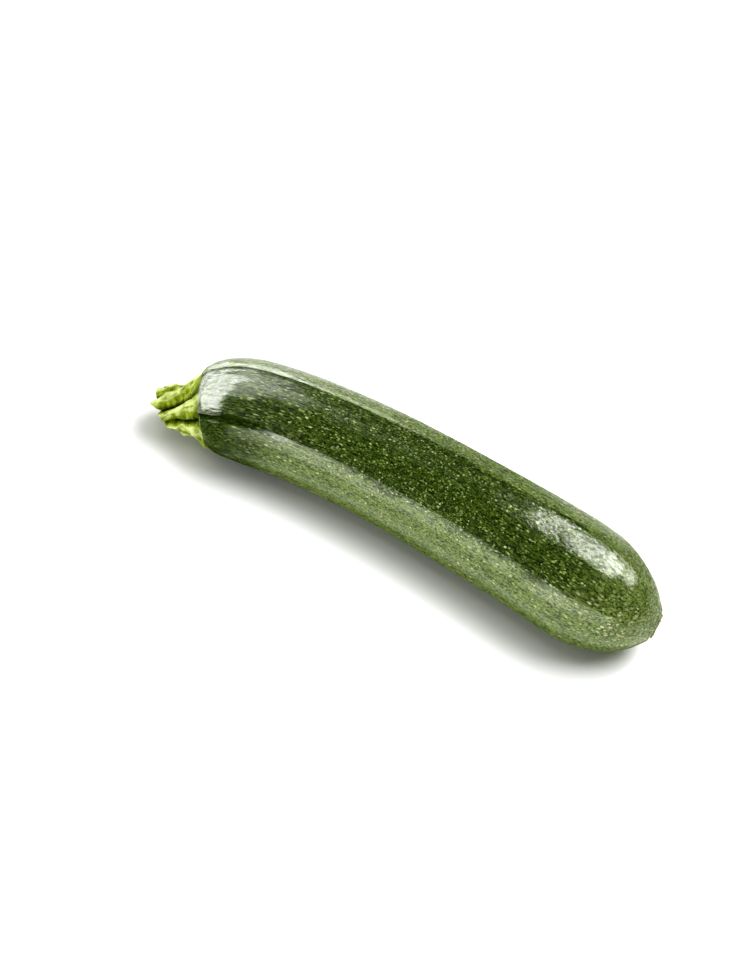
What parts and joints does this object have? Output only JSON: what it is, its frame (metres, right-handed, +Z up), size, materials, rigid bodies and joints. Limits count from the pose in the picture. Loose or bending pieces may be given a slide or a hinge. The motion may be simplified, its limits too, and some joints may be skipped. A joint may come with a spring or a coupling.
{
  "type": "zucchini",
  "caption": "Whole dark green zucchini with shallow ribs, a cut ridged stalk and a corky blossom scar, slightly curved, lying on its side.",
  "frame": {"origin": "middle of the box round the whole zucchini, on the surface that it lies on", "axes": "+X from the stalk toward the blossom end, +Y to the outside of the bend, +Z up"},
  "size_m": [0.209, 0.0516, 0.0434],
  "materials": {
    "green_skin": "satin",
    "stalk_green": "matte",
    "cork_brown": "matte"
  },
  "bodies": {
    "root": {"fruit": "green_skin", "stalk": "stalk_green", "blossom_scar": "cork_brown"}
  },
  "joints": []
}
